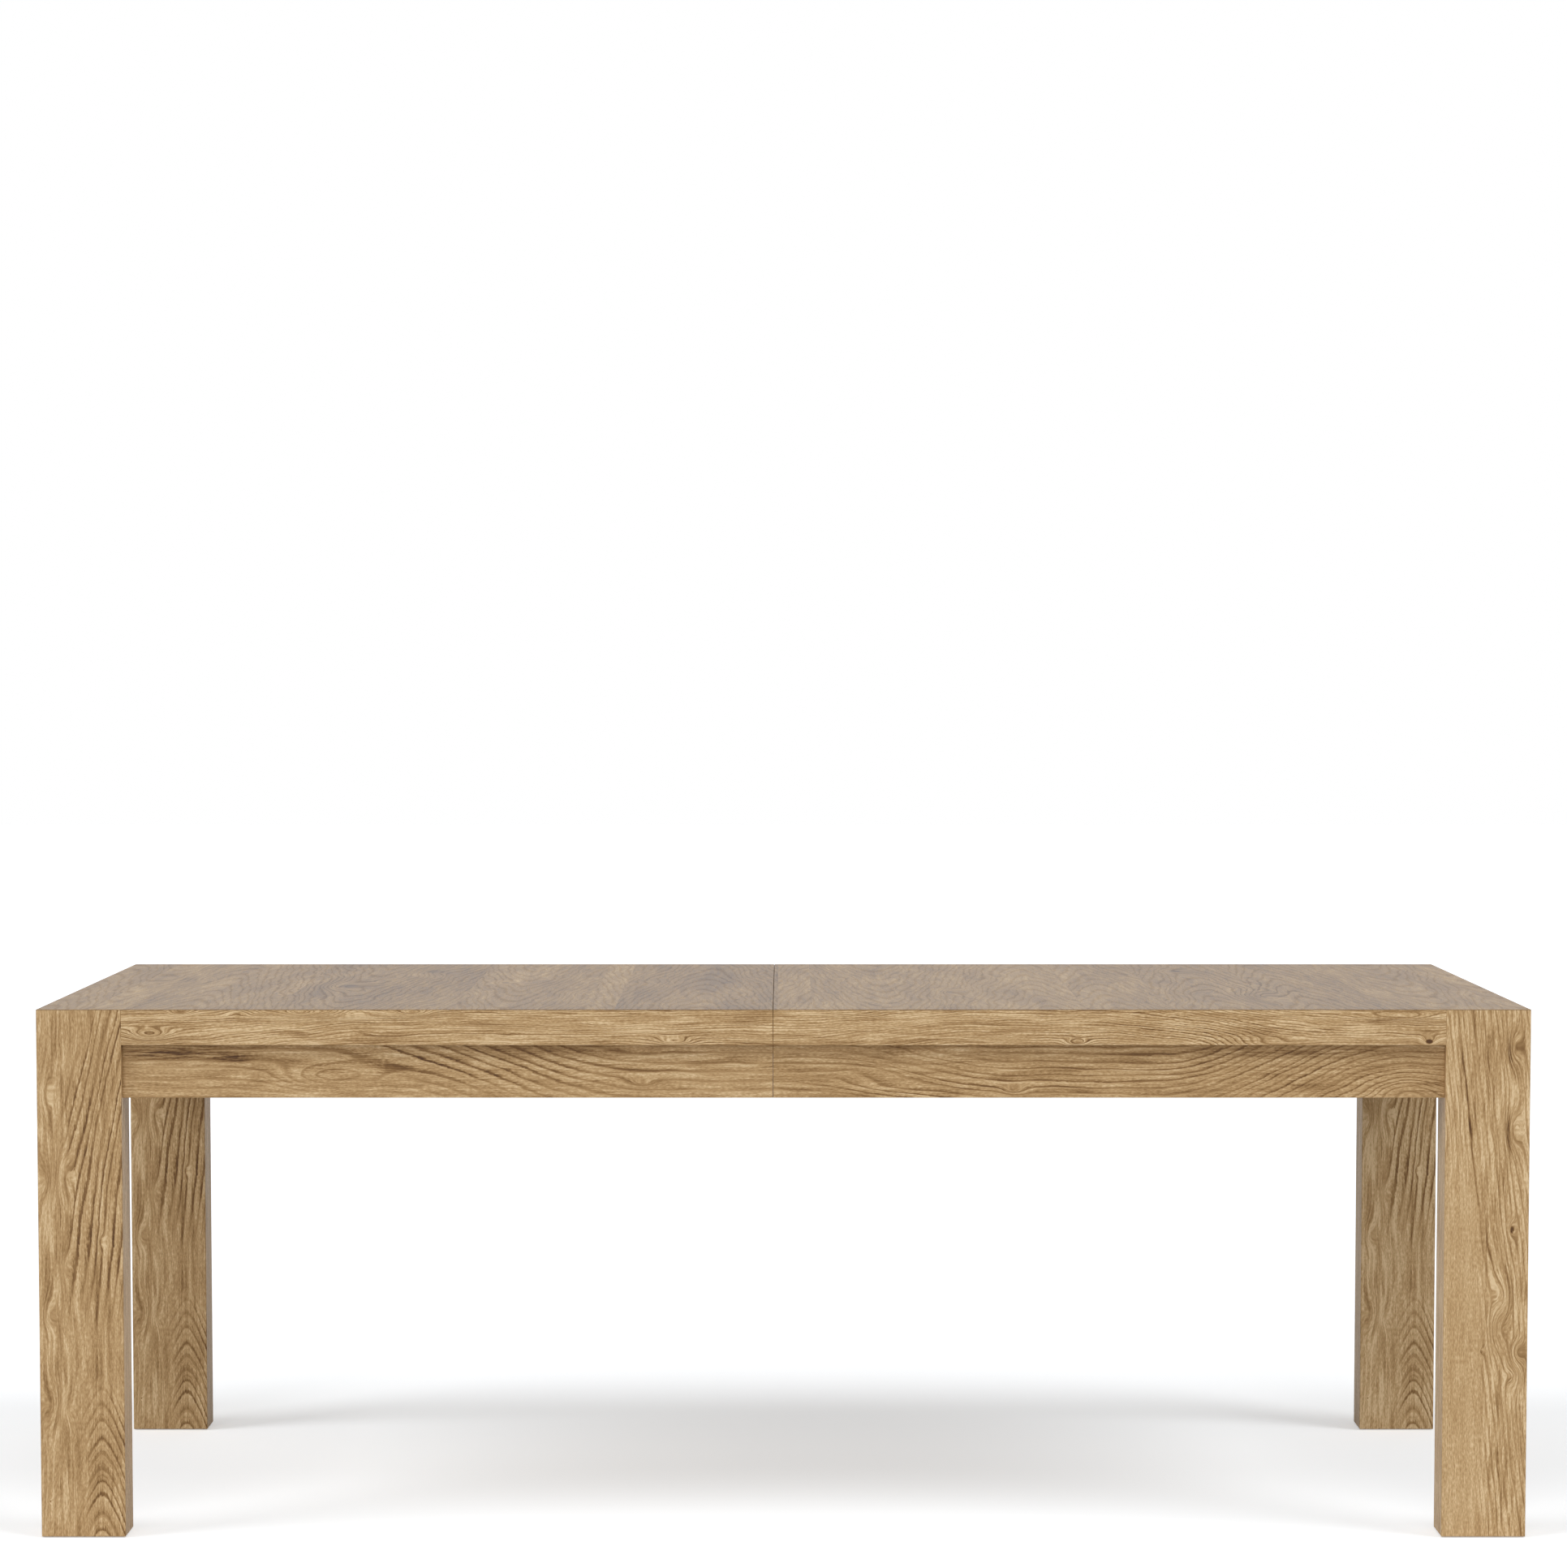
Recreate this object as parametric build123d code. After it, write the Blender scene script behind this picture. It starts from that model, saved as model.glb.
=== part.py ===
from build123d import *
from collections import namedtuple
import math
import os

# Extendable dining table: two halves that part at a seam, with a leaf stored under the left half.
# Millimetres. The origin is on the floor under the middle of the closed table, +X runs to the
# right along the table, +Y to the back and +Z up. A side is -1 for the left half and 1 for the
# right half, and an end is -1 for the front and 1 for the back.

# Overall size of the closed table
table_length = 2134.0
table_width = 1016.0
table_height = 762.0

# The seam where the halves part, and the wedge that eases each half's edge along it
seam_x = -15.0
seam_gap = 0.1
seam_ease_width = 0.5
seam_ease_depth = 2.0

# Top panels, with a thin cap that meets the legs and bands in a mitre
panel_thickness = 25.0
cap_thickness = 6.0
arris_land = 1.0
arris_round = 0.8

# Edge bands
band_height = 51.0
band_depth = 38.0
band_round = 0.6

# Legs
leg_width = 121.0
leg_depth = 76.0
leg_round = 1.0
leg_chamfer = 1.0
foot_reveal = 1.5

# Aprons
apron_height = 76.5
apron_thickness = 22.0
apron_recess = 12.7
apron_round = 0.6

# Corner braces and the hanger bolts that draw the legs to them
brace_thickness = 25.0
brace_height = 60.0
brace_gap = 3.0
bolt_radius = 4.0
bolt_grip = 45.0
bolt_tail = 14.0
bolt_chamfer = 1.2
bolt_spacing = 32.0
bolt_hole_play = 0.5
nut_across_flats = 13.0
nut_height = 6.5
washer_radius = 9.0
washer_thickness = 1.6

# Levelling feet and their threaded inserts
foot_radius = 19.0
foot_height = 5.0
foot_round = 1.0
foot_play = 0.3
foot_side_play = 1.5
foot_drop = 10.0
stem_radius = 4.0
stem_spare = 2.0
insert_radius = 6.0
insert_length = 22.0

# The leaf that fills the gap when the halves are drawn apart
leaf_width = 508.0
opening_spare = 6.0
leaf_top_gap = 6.0
leaf_end_gap = 4.0

# Pins and sleeves along the seam
pin_count = 5
pin_radius = 5.0
pin_grip = 25.0
pin_reach = 15.0
pin_chamfer = 1.5
pin_inset = 85.0
sleeve_radius = 7.0
sleeve_length = 24.0
sleeve_play = 0.3

# Runners that carry the stored leaf
runner_ledge = 20.0
runner_ledge_thickness = 10.0
runner_web = 14.0
runner_pin_gap = 3.0
runner_play = 0.3
runner_start = 40.0
runner_seam_gap = 45.0
runner_screw_count = 4
runner_screw_inset = 60.0
runner_screw_bite = 16.0

# Equaliser slides: two fixed rails, a centre rail between them, racks and a pinion
rail_width = 26.0
rail_height = 50.0
rail_anchor = 585.0
rail_relief = 1.0
rail_play = 0.3
rail_side_gap = 5.0
rail_end = 8.0
centre_rail_width = 24.0
centre_rail_spare = 60.0
tongue_height = 8.0
tongue_depth = 6.0
tongue_offset = 16.0
gear_module = 2.0
gear_backlash = 0.3
gear_pressure_angle = math.radians(20.0)
gear_root_factor = 1.25
pinion_teeth = 18
pinion_flank_points = 6
pinion_width = 10.0
pinion_side_play = 0.5
pinion_window_play = 1.0
axle_radius = 3.0
axle_inset = 3.0
rack_height = 12.0
rack_base = 4.0
rack_run_out = 20.0
rail_screw_count = 3
rail_screw_inset = 40.0
rail_screw_seam_inset = 60.0
rail_screw_recess = 14.0

# Swing latches under the seam
latch_reach = 30.0
latch_swing = 45.0
latch_band_gap = 20.0
latch_pivot_inset = 16.0
latch_plate_length = 36.0
latch_plate_width = 24.0
latch_plate_thickness = 2.0
latch_collar_radius = 7.0
latch_collar_height = 2.0
latch_pivot_radius = 4.0
latch_rivet_radius = 7.0
latch_rivet_height = 3.0
latch_arm_thickness = 2.7
latch_arm_width = 12.0
latch_hub_radius = 8.0
latch_head_radius = 9.0
latch_play = 0.3
latch_tail = 14.0
latch_tab_thickness = 3.0
latch_tab_width = 14.0
latch_tab_drop = 14.0
keeper_length = 22.0
keeper_width = 32.0
keeper_neck_radius = 2.5
keeper_head_radius = 5.0
keeper_head_height = 2.0
keeper_slot_play = 0.4
keeper_screw_spacing = 22.0

# Screws, with the shares of the shank's radius and the head's height that are cut away
rail_screw_radius = 2.5
rail_screw_head_radius = 5.0
rail_screw_head_height = 3.0
rail_screw_length = 54.0
runner_screw_radius = 2.0
runner_screw_head_radius = 4.0
runner_screw_head_height = 2.5
runner_screw_length = 40.0
latch_screw_radius = 2.0
latch_screw_head_radius = 4.0
latch_screw_head_height = 1.8
latch_screw_length = 14.0
screw_point_share = 0.6
screw_dome_share = 0.4

# Fits of round pieces in their holes
running_fit = 0.05
seated_fit = 0.05
hole_spare = 0.5

# Places worked out from the sizes above
half_length = table_length / 2
half_width = table_width / 2
panel_bottom = table_height - panel_thickness
cap_bottom = table_height - cap_thickness
band_bottom = table_height - band_height
apron_bottom = band_bottom - apron_height
apron_face_x = half_length - apron_recess
apron_face_y = half_width - apron_recess
leg_inner_x = half_length - leg_width
leg_inner_y = half_width - leg_depth
stem_length = insert_length + foot_drop + stem_spare
travel = leaf_width + opening_spare

Screw = namedtuple("Screw", "shank_radius head_radius head_height length")
rail_screw = Screw(rail_screw_radius, rail_screw_head_radius, rail_screw_head_height, rail_screw_length)
runner_screw = Screw(
    runner_screw_radius, runner_screw_head_radius, runner_screw_head_height, runner_screw_length
)
latch_screw = Screw(
    latch_screw_radius, latch_screw_head_radius, latch_screw_head_height, latch_screw_length
)

gear_pitch = math.pi * gear_module
pitch_radius = gear_module * pinion_teeth / 2
tip_radius = pitch_radius + gear_module
gear_root = gear_root_factor * gear_module
root_radius = pitch_radius - gear_root
rack_back = pitch_radius + gear_root + rack_base
rack_teeth_behind = math.ceil(rack_run_out / gear_pitch)
rack_teeth_ahead = math.ceil((travel / 2 + rack_run_out) / gear_pitch)

rail_near = centre_rail_width / 2 + rail_play
rail_far = rail_near + rail_width
rail_bottom = panel_bottom - rail_height
rail_reach = rack_teeth_ahead * gear_pitch + rail_end
centre_rail_half = rail_reach + centre_rail_spare
gear_z = panel_bottom - rail_height / 2

runner_inner = leaf_width / 2 + pin_reach + runner_pin_gap
runner_outer = runner_inner + runner_web
slide_y = runner_outer + rail_side_gap + rail_far
latch_y = half_width - band_depth - latch_band_gap

leaf_start = -half_length + band_depth + leaf_end_gap
leaf_end = leaf_start + table_width
leaf_centre = (leaf_start + leaf_end) / 2
leaf_face = panel_bottom - leaf_top_gap - band_height
leaf_half = leaf_width / 2

latch_plate_bottom = panel_bottom - latch_plate_thickness
latch_arm_top = latch_plate_bottom - latch_collar_height - latch_play
latch_arm_bottom = latch_arm_top - latch_arm_thickness
latch_pivot_x = seam_x - latch_pivot_inset
keeper_x = latch_pivot_x + latch_reach

pin_spread = half_width - band_depth - pin_inset
pin_offsets = [pin_spread * (2 * i / (pin_count - 1) - 1) for i in range(pin_count)]
pin_depth = panel_thickness / 2

on_base = (Align.CENTER, Align.CENTER, Align.MIN)
halves = {-1: "left", 1: "right"}
ends = {-1: "front", 1: "back"}


def block(x_span, y_span, z_span):
    """Box between two limits on each axis, given in either order."""
    spans = [sorted(span) for span in (x_span, y_span, z_span)]
    size = [high - low for low, high in spans]
    centre = [(low + high) / 2 for low, high in spans]
    return Pos(*centre) * Box(*size)


def post(x, y, z_span, radius):
    """Upright cylinder between two heights."""
    low, high = sorted(z_span)
    return Pos(x, y, low) * Cylinder(radius, high - low, align=on_base)


def bar(plane, start, end, radius):
    """Cylinder along a plane's normal, between two distances from its origin."""
    return plane * Pos(0, 0, start) * Cylinder(radius, end - start, align=on_base)


def prism(points, along):
    """Flat outline of 3-D points, drawn out along a vector."""
    face = make_face(Polyline(*points, close=True))
    return extrude(face, amount=Vector(along).length, dir=along)


def group(pieces):
    """Separate solids kept together under one name."""
    return Compound([solid for piece in pieces for solid in piece.solids()])


def seam_face(side):
    return seam_x + side * seam_gap / 2


def even_places(first, last, count):
    return [first + (last - first) * i / (count - 1) for i in range(count)]


# Screws and where they go

def screw(x, y, seat, sizes):
    """Pan-head screw pointing up, with its head under the height of its seat."""
    shank = post(x, y, (seat, seat + sizes.length), sizes.shank_radius)
    shank = chamfer(shank.edges().group_by(Axis.Z)[-1], sizes.shank_radius * screw_point_share)
    head = post(x, y, (seat - sizes.head_height, seat), sizes.head_radius)
    head = fillet(head.edges().group_by(Axis.Z)[0], sizes.head_height * screw_dome_share)
    return head + shank


def screw_hole(x, y, seat, sizes):
    return post(x, y, (seat, seat + sizes.length + hole_spare), sizes.shank_radius + seated_fit)


def screw_pocket(x, y, bottom, seat, sizes):
    """Round pocket that lets a screw's head up to its seat from below."""
    return post(x, y, (bottom, seat), sizes.head_radius + hole_spare)


def rail_screw_places(side, end):
    y = end * slide_y - side * end * (rack_back + rail_far) / 2
    last = rail_anchor - rail_screw_inset
    offsets = even_places(rail_screw_seam_inset, last, rail_screw_count)
    seat = rail_bottom + rail_screw_recess
    return [(seam_x + side * offset, y, seat, rail_screw) for offset in offsets]


def runner_screw_places(end):
    y = end * (runner_inner + runner_outer) / 2
    first = leaf_start + runner_start + runner_screw_inset
    last = seam_x - runner_seam_gap - runner_screw_inset
    seat = panel_bottom - runner_screw.length + runner_screw_bite
    return [(x, y, seat, runner_screw) for x in even_places(first, last, runner_screw_count)]


def latch_screw_places(end):
    x = latch_pivot_x - latch_plate_length / 2 + latch_collar_radius / 2
    offset = latch_plate_width / 2 - latch_screw.head_radius
    return [(x, end * latch_y + way * offset, latch_plate_bottom, latch_screw) for way in (-1, 1)]


def keeper_screw_places(end):
    offset = keeper_screw_spacing / 2
    return [(keeper_x, end * latch_y + way * offset, latch_plate_bottom, latch_screw) for way in (-1, 1)]


def panel_screw_places(side):
    """Every screw that goes up into one half's panel."""
    places = []
    for end in ends:
        places += rail_screw_places(side, end)
        if side < 0:
            places += runner_screw_places(end) + latch_screw_places(end)
        else:
            places += keeper_screw_places(end)
    return places


# Top panels, bands, aprons and legs

def mitre_cut_x(x, inward, y_span, face_z, down):
    """Wedge under a cap's edge that lies across the table at x."""
    run = cap_thickness - arris_land
    low, high = y_span
    edge = (x, low, face_z + down * arris_land)
    under = (x, low, face_z + down * cap_thickness)
    inner = (x + inward * run, low, face_z + down * cap_thickness)
    return prism([edge, under, inner], (0, high - low, 0))


def mitre_cut_y(y, inward, x_span, face_z, down):
    """Wedge under a cap's edge that lies along the table at y."""
    run = cap_thickness - arris_land
    low, high = sorted(x_span)
    edge = (low, y, face_z + down * arris_land)
    under = (low, y, face_z + down * cap_thickness)
    inner = (low, y + inward * run, face_z + down * cap_thickness)
    return prism([edge, under, inner], (high - low, 0, 0))


def seam_ease_above(side):
    """Wedge off the edge of one half's top along the seam."""
    x = seam_face(side)
    corners = [(x, table_height), (x + side * seam_ease_width, table_height)]
    corners.append((x, table_height - seam_ease_depth))
    return prism([(x, -half_width, z) for x, z in corners], (0, table_width, 0))


def seam_ease_beside(side, end, face_y):
    """Wedge off the edge of one half's upright face along the seam."""
    x = seam_face(side)
    corners = [(x, face_y), (x + side * seam_ease_width, face_y)]
    corners.append((x, face_y - end * seam_ease_depth))
    return prism([(x, y, apron_bottom) for x, y in corners], (0, 0, table_height - apron_bottom))


def top_cap(side):
    """Thin plate over one whole half, mitred under its three outer edges."""
    x_span = (side * half_length, seam_face(side))
    y_span = (-half_width, half_width)
    cap = block(x_span, y_span, (cap_bottom, table_height))
    cap -= mitre_cut_x(side * half_length, -side, y_span, table_height, -1)
    for end in ends:
        cap -= mitre_cut_y(end * half_width, -end, x_span, table_height, -1)
    return cap


def rounded_cap(side):
    """The same plate with its corners, arris and seam edge eased."""
    outline = block((side * half_length, seam_face(side)), (-half_width, half_width), (0, table_height))
    corners = outline.edges().filter_by(Axis.Z).group_by(Axis.X)[0 if side < 0 else -1]
    cap = top_cap(side) & fillet(corners, leg_round)
    upper = cap.edges().group_by(Axis.Z)[-1]
    seam_edge = upper.group_by(Axis.X)[-1 if side < 0 else 0]
    cap = fillet([edge for edge in upper if edge not in seam_edge], arris_round)
    cap -= seam_ease_above(side)
    for end in ends:
        cap -= seam_ease_beside(side, end, end * half_width)
    return cap


def top_panel(side):
    core_x = (side * (half_length - band_depth), seam_face(side))
    core_y = half_width - band_depth
    panel = block(core_x, (-core_y, core_y), (panel_bottom, cap_bottom))
    for end in ends:
        panel -= block(
            (side * half_length, side * leg_inner_x),
            (end * half_width, end * leg_inner_y),
            (panel_bottom, cap_bottom),
        )
    panel += rounded_cap(side)
    for place in panel_screw_places(side):
        panel -= screw_hole(*place)
    for offset in pin_offsets:
        radius = pin_radius if side < 0 else sleeve_radius
        depth = pin_grip if side < 0 else sleeve_length
        panel -= bar(seam_pin_plane(side, offset), -hole_spare, depth, radius + seated_fit)
    return panel


def eased_face(face, radius):
    """Round a rail's outer face along its bottom and both ends."""
    return fillet(face.edges().sort_by(Axis.Z)[:-1], radius)


def eased_to_seam(face, side, radius):
    """Round a rail's outer face along its bottom and at its leg, but not at the seam."""
    edges = face.edges().sort_by(Axis.Z)[:-1].sort_by(Axis.X)
    return fillet(edges[:-1] if side < 0 else edges[1:], radius)


def long_band(side, end):
    """Front or back edge band, from its leg to the seam."""
    band = block(
        (side * leg_inner_x, seam_face(side)),
        (end * half_width, end * (half_width - band_depth)),
        (band_bottom, table_height),
    )
    outer = band.faces().sort_by(Axis.Y)[0 if end < 0 else -1]
    band = eased_to_seam(outer, side, band_round)
    return band - seam_ease_beside(side, end, end * half_width) - top_cap(side)


def end_band(side):
    band = block(
        (side * half_length, side * (half_length - band_depth)),
        (-leg_inner_y, leg_inner_y),
        (band_bottom, table_height),
    )
    outer = band.faces().sort_by(Axis.X)[0 if side < 0 else -1]
    return eased_face(outer, band_round) - top_cap(side)


def long_apron(side, end):
    """Front or back apron, set back under its band."""
    apron = block(
        (side * leg_inner_x, seam_face(side)),
        (end * apron_face_y, end * (apron_face_y - apron_thickness)),
        (apron_bottom, band_bottom),
    )
    outer = apron.faces().sort_by(Axis.Y)[0 if end < 0 else -1]
    apron = eased_to_seam(outer, side, apron_round)
    return apron - seam_ease_beside(side, end, end * apron_face_y)


def end_apron(side):
    apron = block(
        (side * apron_face_x, side * (apron_face_x - apron_thickness)),
        (-leg_inner_y, leg_inner_y),
        (apron_bottom, band_bottom),
    )
    outer = apron.faces().sort_by(Axis.X)[0 if side < 0 else -1]
    return eased_face(outer, apron_round)


def foot_place(side, end):
    return side * (half_length - leg_width / 2), end * (half_width - leg_depth / 2)


def bolt_planes(side, end):
    """Two planes on a leg's inner arris that face the middle of the table."""
    middle = (apron_bottom + band_bottom) / 2
    heights = (middle - bolt_spacing / 2, middle + bolt_spacing / 2)
    x, y = side * leg_inner_x, end * leg_inner_y
    return [Plane(origin=(x, y, z), z_dir=(-side, -end, 0)) for z in heights]


def leg(side, end):
    column = block(
        (side * half_length, side * leg_inner_x),
        (end * half_width, end * leg_inner_y),
        (foot_reveal, table_height),
    )
    column = chamfer(column.edges().group_by(Axis.Z)[0], leg_chamfer)
    column = fillet(column.edges().filter_by(Axis.Z), leg_round)
    column -= top_cap(side)
    x, y = foot_place(side, end)
    recess_top = foot_height + foot_play
    column -= post(x, y, (0, recess_top), foot_radius + foot_side_play)
    column -= post(x, y, (0, recess_top + insert_length), insert_radius + seated_fit)
    column -= post(x, y, (0, foot_height + stem_length + hole_spare), stem_radius + hole_spare)
    for plane in bolt_planes(side, end):
        column -= bar(plane, -bolt_grip - hole_spare, leg_width, bolt_radius + seated_fit)
    return column


# Corner braces and bolts

def corner_brace(side, end):
    """Diagonal block between the aprons, in front of the leg's inner arris."""
    inner_x = apron_face_x - apron_thickness
    inner_y = apron_face_y - apron_thickness
    near = leg_inner_x + leg_inner_y - brace_gap * math.sqrt(2)
    far = near - brace_thickness * math.sqrt(2)
    corners = [(near - inner_y, inner_y), (inner_x, near - inner_x)]
    corners += [(inner_x, far - inner_x), (far - inner_y, inner_y)]
    low = (apron_bottom + band_bottom - brace_height) / 2
    brace = prism([(side * x, end * y, low) for x, y in corners], (0, 0, brace_height))
    for plane in bolt_planes(side, end):
        brace -= bar(plane, 0, brace_gap + brace_thickness + hole_spare, bolt_radius + bolt_hole_play)
    return brace


def leg_bolt(plane):
    """Hanger bolt from inside the leg to past the nut."""
    length_out = brace_gap + brace_thickness + bolt_tail
    bolt = bar(plane, -bolt_grip, length_out, bolt_radius)
    return chamfer(bolt.edges().filter_by(GeomType.CIRCLE), bolt_chamfer)


def leg_nut(plane):
    """Hex nut with its washer, drawn against the brace."""
    seat = brace_gap + brace_thickness
    washer = bar(plane, seat, seat + washer_thickness, washer_radius)
    hexagon = RegularPolygon(nut_across_flats / 2, 6, major_radius=False)
    nut = plane * Pos(0, 0, seat + washer_thickness) * extrude(hexagon, amount=nut_height)
    return washer + nut - bar(plane, 0, seat + bolt_tail, bolt_radius + seated_fit)


# Levelling feet

def foot(side, end):
    x, y = foot_place(side, end)
    disc = post(x, y, (0, foot_height), foot_radius)
    disc = fillet(disc.edges(), foot_round)
    return disc + post(x, y, (foot_height / 2, foot_height + stem_length), stem_radius)


def foot_insert(side, end):
    x, y = foot_place(side, end)
    low = foot_height + foot_play
    sleeve = post(x, y, (low, low + insert_length), insert_radius)
    return sleeve - post(x, y, (low, low + insert_length), stem_radius + running_fit)


# Pins and sleeves along the seam

def seam_pin_plane(side, offset):
    """Plane on a half's seam face that looks into its panel."""
    return Plane(origin=(seam_face(side), offset, table_height - pin_depth), z_dir=(side, 0, 0))


def pin(plane):
    """Plain pin, held behind its plane and standing out in front of it."""
    shank = bar(plane, -pin_reach, pin_grip, pin_radius)
    return chamfer(shank.edges().filter_by(GeomType.CIRCLE), pin_chamfer)


def sleeve(plane):
    outer = bar(plane, 0, sleeve_length, sleeve_radius)
    return outer - bar(plane, 0, sleeve_length, pin_radius + sleeve_play)


# Equaliser slides

def rack_span(side):
    """Where one half's racks start and end along the table."""
    start = seam_x + side * rack_teeth_behind * gear_pitch
    return start, seam_x - side * rack_teeth_ahead * gear_pitch


def slide_rail(side, end):
    """Rail screwed under one half, reaching past the seam beside the centre rail."""
    away = -side * end
    centre = end * slide_y
    near = centre + away * rail_near
    far = centre + away * rail_far
    anchor = seam_x + side * rail_anchor
    tip = seam_x - side * rail_reach
    rail = block((anchor, tip), (near, far), (rail_bottom, panel_bottom))
    relief_start = seam_face(side) + side * rail_relief
    rail -= block((relief_start, tip), (near, far), (panel_bottom - rail_relief, panel_bottom))
    groove = near + away * (tongue_depth + rail_play)
    for way in (-1, 1):
        middle = gear_z + way * tongue_offset
        half = tongue_height / 2 + rail_play
        rail -= block((anchor, tip), (near, groove), (middle - half, middle + half))
    slot_z = (gear_z - rack_height / 2, gear_z + rack_height / 2)
    rail -= block(rack_span(side), (near, centre + away * rack_back), slot_z)
    for place in rail_screw_places(side, end):
        rail -= screw_hole(*place)
        rail -= screw_pocket(place[0], place[1], rail_bottom, place[2], rail_screw)
    return rail


def gear_rack(side, end):
    """Straight rack with a gap facing the pinion at the seam."""
    away = -side * end
    centre = end * slide_y
    back = centre + away * rack_back
    root = centre + away * (pitch_radius + gear_root)
    tip = centre + away * (pitch_radius - gear_module)
    slope = math.tan(gear_pressure_angle)
    tip_half = gear_pitch / 4 - gear_module * slope
    root_half = gear_pitch / 4 + gear_root * slope
    shift = gear_pitch / 2 * (pinion_teeth % 2) * (side > 0)
    start, stop = rack_span(side)
    low = gear_z - rack_height / 2
    points = [(start, back, low), (start, root, low)]
    for i in range(rack_teeth_behind + rack_teeth_ahead):
        tooth = start - side * ((i + 0.5) * gear_pitch - shift)
        steps = [(root_half, root), (tip_half, tip), (-tip_half, tip), (-root_half, root)]
        points += [(tooth + side * step, y, low) for step, y in steps]
    points += [(stop, root, low), (stop, back, low)]
    return prism(points, (0, 0, rack_height))


def centre_rail(end):
    """Rail between the two fixed ones, with tongues both sides and a window for the pinion."""
    centre = end * slide_y
    x_span = (seam_x - centre_rail_half, seam_x + centre_rail_half)
    half = centre_rail_width / 2
    rail = block(x_span, (centre - half, centre + half), (rail_bottom, panel_bottom - rail_relief))
    reach = half + tongue_depth
    for way in (-1, 1):
        middle = gear_z + way * tongue_offset
        tongue_z = (middle - tongue_height / 2, middle + tongue_height / 2)
        rail += block(x_span, (centre - reach, centre + reach), tongue_z)
    window_x = tip_radius + pinion_window_play
    window_z = pinion_width / 2 + pinion_side_play
    rail -= block(
        (seam_x - window_x, seam_x + window_x),
        (centre - half, centre + half),
        (gear_z - window_z, gear_z + window_z),
    )
    return rail - post(seam_x, centre, (rail_bottom, panel_bottom), axle_radius + seated_fit)


def pinion_axle(end):
    axle_z = (rail_bottom + axle_inset, panel_bottom - rail_relief - axle_inset)
    return post(seam_x, end * slide_y, axle_z, axle_radius)


def involute(angle):
    return math.tan(angle) - angle


def pinion(end):
    """Spur gear with involute teeth, one of them pointing straight at each rack."""
    base_radius = pitch_radius * math.cos(gear_pressure_angle)
    half_tooth = math.pi / (2 * pinion_teeth) - gear_backlash / (2 * pitch_radius)
    flank = []
    for radius in even_places(base_radius, tip_radius, pinion_flank_points):
        roll = math.acos(min(1.0, base_radius / radius))
        flank.append((radius, half_tooth + involute(gear_pressure_angle) - involute(roll)))
    if root_radius < base_radius:
        flank.insert(0, (root_radius, flank[0][1]))
    tooth = [(radius, -turn) for radius, turn in flank]
    tooth += [(radius, turn) for radius, turn in reversed(flank)]
    points = []
    for i in range(pinion_teeth):
        middle = math.pi / 2 + 2 * math.pi * i / pinion_teeth
        for radius, turn in tooth:
            x = seam_x + radius * math.cos(middle + turn)
            y = end * slide_y + radius * math.sin(middle + turn)
            points.append((x, y, gear_z - pinion_width / 2))
    gear = prism(points, (0, 0, pinion_width))
    bore_z = (gear_z - pinion_width, gear_z + pinion_width)
    return gear - post(seam_x, end * slide_y, bore_z, axle_radius + running_fit)


# Swing latches

def latch_plate(end):
    """Plate under the left panel with a collar and a headed pivot for the arm."""
    y = end * latch_y
    start = latch_pivot_x - latch_plate_length / 2 - latch_collar_radius / 2
    plate = block(
        (start, start + latch_plate_length),
        (y - latch_plate_width / 2, y + latch_plate_width / 2),
        (latch_plate_bottom, panel_bottom),
    )
    collar_bottom = latch_plate_bottom - latch_collar_height
    rivet_top = latch_arm_bottom - latch_play
    plate += post(latch_pivot_x, y, (collar_bottom, latch_plate_bottom), latch_collar_radius)
    plate += post(latch_pivot_x, y, (rivet_top, collar_bottom), latch_pivot_radius)
    plate += post(latch_pivot_x, y, (rivet_top - latch_rivet_height, rivet_top), latch_rivet_radius)
    for place in latch_screw_places(end):
        x, y = place[:2]
        plate -= post(x, y, (latch_plate_bottom, panel_bottom), latch_screw.shank_radius + seated_fit)
    return plate


def latch_keeper(end):
    """Plate under the right panel with a headed stud that the arm hooks round."""
    y = end * latch_y
    plate = block(
        (keeper_x - keeper_length / 2, keeper_x + keeper_length / 2),
        (y - keeper_width / 2, y + keeper_width / 2),
        (latch_plate_bottom, panel_bottom),
    )
    head_top = latch_arm_bottom - latch_play
    plate += post(keeper_x, y, (head_top, latch_plate_bottom), keeper_neck_radius)
    plate += post(keeper_x, y, (head_top - keeper_head_height, head_top), keeper_head_radius)
    for place in keeper_screw_places(end):
        x, y = place[:2]
        plate -= post(x, y, (latch_plate_bottom, panel_bottom), latch_screw.shank_radius + seated_fit)
    return plate


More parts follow.
